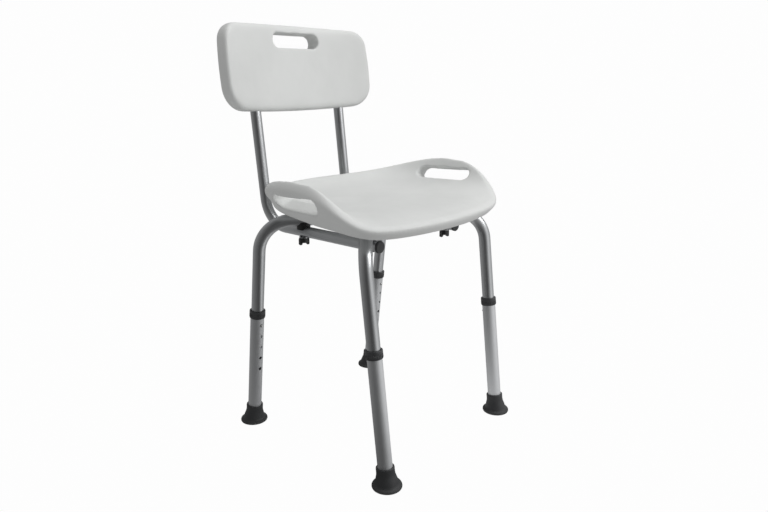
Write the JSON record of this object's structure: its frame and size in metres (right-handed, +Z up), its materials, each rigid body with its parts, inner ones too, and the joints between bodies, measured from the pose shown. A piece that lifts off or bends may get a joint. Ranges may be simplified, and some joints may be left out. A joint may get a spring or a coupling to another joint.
{
  "type": "shower chair",
  "caption": "Shower chair with a moulded seat with side grips, a curved backrest on bent tubes, and crossing tube legs that adjust in height on snap buttons and stand on flared rubber feet.",
  "frame": {"origin": "on the floor, under the middle of the chair's overall box", "axes": "+Z up, the sitter faces -Y, +X to the sitter's left; the chair is symmetric about the YZ plane but for which of the two crossing tubes passes on top"},
  "size_m": [0.5037, 0.4892, 0.8457],
  "materials": {
    "moulded_plastic": "white blow-moulded polyethylene with a fine moulded grain",
    "aluminium_tube": "satin anodised drawn tube",
    "plated_steel": "zinc plated",
    "button_steel": "polished stainless",
    "spring_steel": "spring temper strip",
    "grey_plastic": "dark grey moulded",
    "foot_rubber": "dark grey rubber",
    "black_plastic": "black moulded",
    "insert_brass": "turned brass"
  },
  "bodies": {
    "frame": {"seat_shell": "moulded_plastic", "backrest_shell": "moulded_plastic", "crossing_tube_upper": "aluminium_tube", "crossing_tube_lower": "aluminium_tube", "back_support_left": "aluminium_tube", "back_support_right": "aluminium_tube", "crossing_bolt": "plated_steel", "crossing_nut": "plated_steel", "crossing_washers": "plated_steel", "knob_washers": "plated_steel", "backrest_screws": "plated_steel", "spring_clip_rear_left": "spring_steel", "saddle_rear_left": "black_plastic", "spring_clip_front_left": "spring_steel", "saddle_front_left": "black_plastic", "spring_clip_rear_right": "spring_steel", "saddle_rear_right": "black_plastic", "spring_clip_front_right": "spring_steel", "saddle_front_right": "black_plastic", "tube_end_cap_left": "grey_plastic", "tube_end_cap_right": "grey_plastic", "seat_inserts": "insert_brass"},
    "leg_rear_left": {"leg_extension_rear_left": "aluminium_tube", "leg_collar_rear_left": "grey_plastic", "rubber_foot_rear_left": "foot_rubber", "foot_washer_rear_left": "plated_steel"},
    "button_rear_left": {"snap_button_rear_left": "button_steel"},
    "knob_rear_left": {"wing_knob_rear_left": "black_plastic", "knob_stud_rear_left": "plated_steel"},
    "leg_front_left": {"leg_extension_front_left": "aluminium_tube", "leg_collar_front_left": "grey_plastic", "rubber_foot_front_left": "foot_rubber", "foot_washer_front_left": "plated_steel"},
    "button_front_left": {"snap_button_front_left": "button_steel"},
    "knob_front_left": {"wing_knob_front_left": "black_plastic", "knob_stud_front_left": "plated_steel"},
    "leg_rear_right": {"leg_extension_rear_right": "aluminium_tube", "leg_collar_rear_right": "grey_plastic", "rubber_foot_rear_right": "foot_rubber", "foot_washer_rear_right": "plated_steel"},
    "button_rear_right": {"snap_button_rear_right": "button_steel"},
    "knob_rear_right": {"wing_knob_rear_right": "black_plastic", "knob_stud_rear_right": "plated_steel"},
    "leg_front_right": {"leg_extension_front_right": "aluminium_tube", "leg_collar_front_right": "grey_plastic", "rubber_foot_front_right": "foot_rubber", "foot_washer_front_right": "plated_steel"},
    "button_front_right": {"snap_button_front_right": "button_steel"},
    "knob_front_right": {"wing_knob_front_right": "black_plastic", "knob_stud_front_right": "plated_steel"}
  },
  "joints": [
    {"name": "leg_height_rear_left", "type": "slide", "parent": "frame", "child": "leg_rear_left", "axis": [0, -0.118, 0.993], "range_m": [0, 0.1016], "deforming": ["snap_button_rear_left"]},
    {"name": "leg_height_front_left", "type": "slide", "parent": "frame", "child": "leg_front_left", "axis": [0, 0.118, 0.993], "range_m": [0, 0.1016], "deforming": ["snap_button_front_left"]},
    {"name": "leg_height_rear_right", "type": "slide", "parent": "frame", "child": "leg_rear_right", "axis": [0, -0.118, 0.993], "range_m": [0, 0.1016], "deforming": ["snap_button_rear_right"]},
    {"name": "leg_height_front_right", "type": "slide", "parent": "frame", "child": "leg_front_right", "axis": [0, 0.118, 0.993], "range_m": [0, 0.1016], "deforming": ["snap_button_front_right"]},
    {"name": "button_press_rear_left", "type": "slide", "parent": "frame", "child": "button_rear_left", "axis": [0, 0.993, 0.118], "range_m": [0, 0.0046], "stiffness_N_per_m": 800, "springref_m": -0.004, "deforming": ["spring_clip_rear_left"]},
    {"name": "button_press_front_left", "type": "slide", "parent": "frame", "child": "button_front_left", "axis": [0, -0.993, 0.118], "range_m": [0, 0.0046], "stiffness_N_per_m": 800, "springref_m": -0.004, "deforming": ["spring_clip_front_left"]},
    {"name": "button_press_rear_right", "type": "slide", "parent": "frame", "child": "button_rear_right", "axis": [0, 0.993, 0.118], "range_m": [0, 0.0046], "stiffness_N_per_m": 800, "springref_m": -0.004, "deforming": ["spring_clip_rear_right"]},
    {"name": "button_press_front_right", "type": "slide", "parent": "frame", "child": "button_front_right", "axis": [0, -0.993, 0.118], "range_m": [0, 0.0046], "stiffness_N_per_m": 800, "springref_m": -0.004, "deforming": ["spring_clip_front_right"]},
    {"name": "knob_turn_rear_left", "type": "hinge", "parent": "frame", "child": "knob_rear_left", "pos_m": [-0.1224, 0.06901, 0.41], "axis": [0, 0, 1], "continuous": true},
    {"name": "knob_turn_front_left", "type": "hinge", "parent": "frame", "child": "knob_front_left", "pos_m": [-0.1224, -0.10801, 0.41], "axis": [0, 0, 1], "continuous": true},
    {"name": "knob_turn_rear_right", "type": "hinge", "parent": "frame", "child": "knob_rear_right", "pos_m": [0.1224, 0.06901, 0.41], "axis": [0, 0, 1], "continuous": true},
    {"name": "knob_turn_front_right", "type": "hinge", "parent": "frame", "child": "knob_front_right", "pos_m": [0.1224, -0.10801, 0.41], "axis": [0, 0, 1], "continuous": true}
  ]
}
